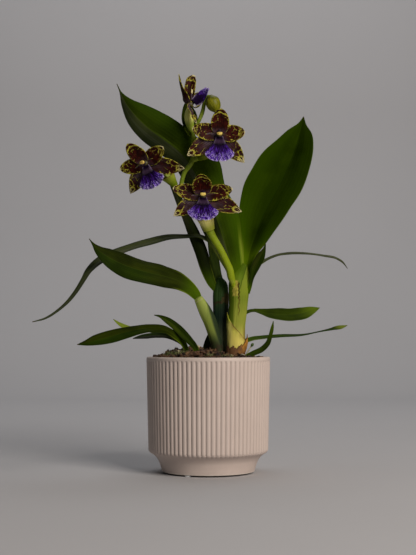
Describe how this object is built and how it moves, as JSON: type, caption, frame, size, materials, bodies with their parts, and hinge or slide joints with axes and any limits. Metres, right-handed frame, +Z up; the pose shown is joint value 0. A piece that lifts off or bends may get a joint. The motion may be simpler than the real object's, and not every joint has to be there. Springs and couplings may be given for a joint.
{
  "type": "potted zygopetalum orchid",
  "caption": "Orchid with strap leaves and an arching spike of barred maroon and violet blooms, growing in bark in a reeded ceramic pot on clear bumpers.",
  "frame": {"origin": "on the pot's axis, at the flat surface that the bumpers stand on", "axes": "+Z up along the pot's axis, -Y toward the front, where the open blooms face, +X to the right as seen from the front"},
  "size_m": [0.3427, 0.2992, 0.4293],
  "materials": {
    "glaze": "matte",
    "bumper": "gloss",
    "bark": "matte",
    "dark_leaf": "satin",
    "leaf": "satin",
    "young_leaf": "satin",
    "sheath": "satin",
    "blue_sheath": "satin",
    "dry_sheath": "matte",
    "stalk": "satin",
    "bract": "matte",
    "tepal": "satin",
    "lip": "satin",
    "column": "satin",
    "root": "matte"
  },
  "bodies": {
    "root": {"pot": "glaze", "pad_1": "bumper", "pad_2": "bumper", "pad_3": "bumper", "bark": "bark", "main_growth": "sheath", "outer_sheath": "sheath", "dry_sheath": "dry_sheath", "middle_growth": "blue_sheath", "left_growth": "sheath", "leaf_back_left": "dark_leaf", "leaf_large_right": "leaf", "leaf_small_right": "dark_leaf", "leaf_arching_right": "dark_leaf", "leaf_long_left": "dark_leaf", "leaf_middle_left": "leaf", "leaf_strap_dark": "dark_leaf", "leaf_strap_green": "leaf", "leaf_low_right": "leaf", "leaf_lowest_right": "dark_leaf", "leaf_short_right": "leaf", "leaf_forward_left": "leaf", "leaf_under_left": "dark_leaf", "leaf_short_left": "leaf", "leaf_hidden_left": "young_leaf", "leaf_stub_behind": "dark_leaf", "spike": "stalk", "bract_lower": "bract", "bract_left": "bract", "bract_right": "bract", "bract_top": "dark_leaf", "tepals_lower": "tepal", "tepals_left": "tepal", "tepals_right": "tepal", "tepals_top": "tepal", "lip_lower": "lip", "lip_left": "lip", "lip_right": "lip", "lip_top": "lip", "column_lower": "column", "column_left": "column", "column_right": "column", "column_top": "column", "bud": "stalk", "root_tip": "root"}
  },
  "joints": []
}
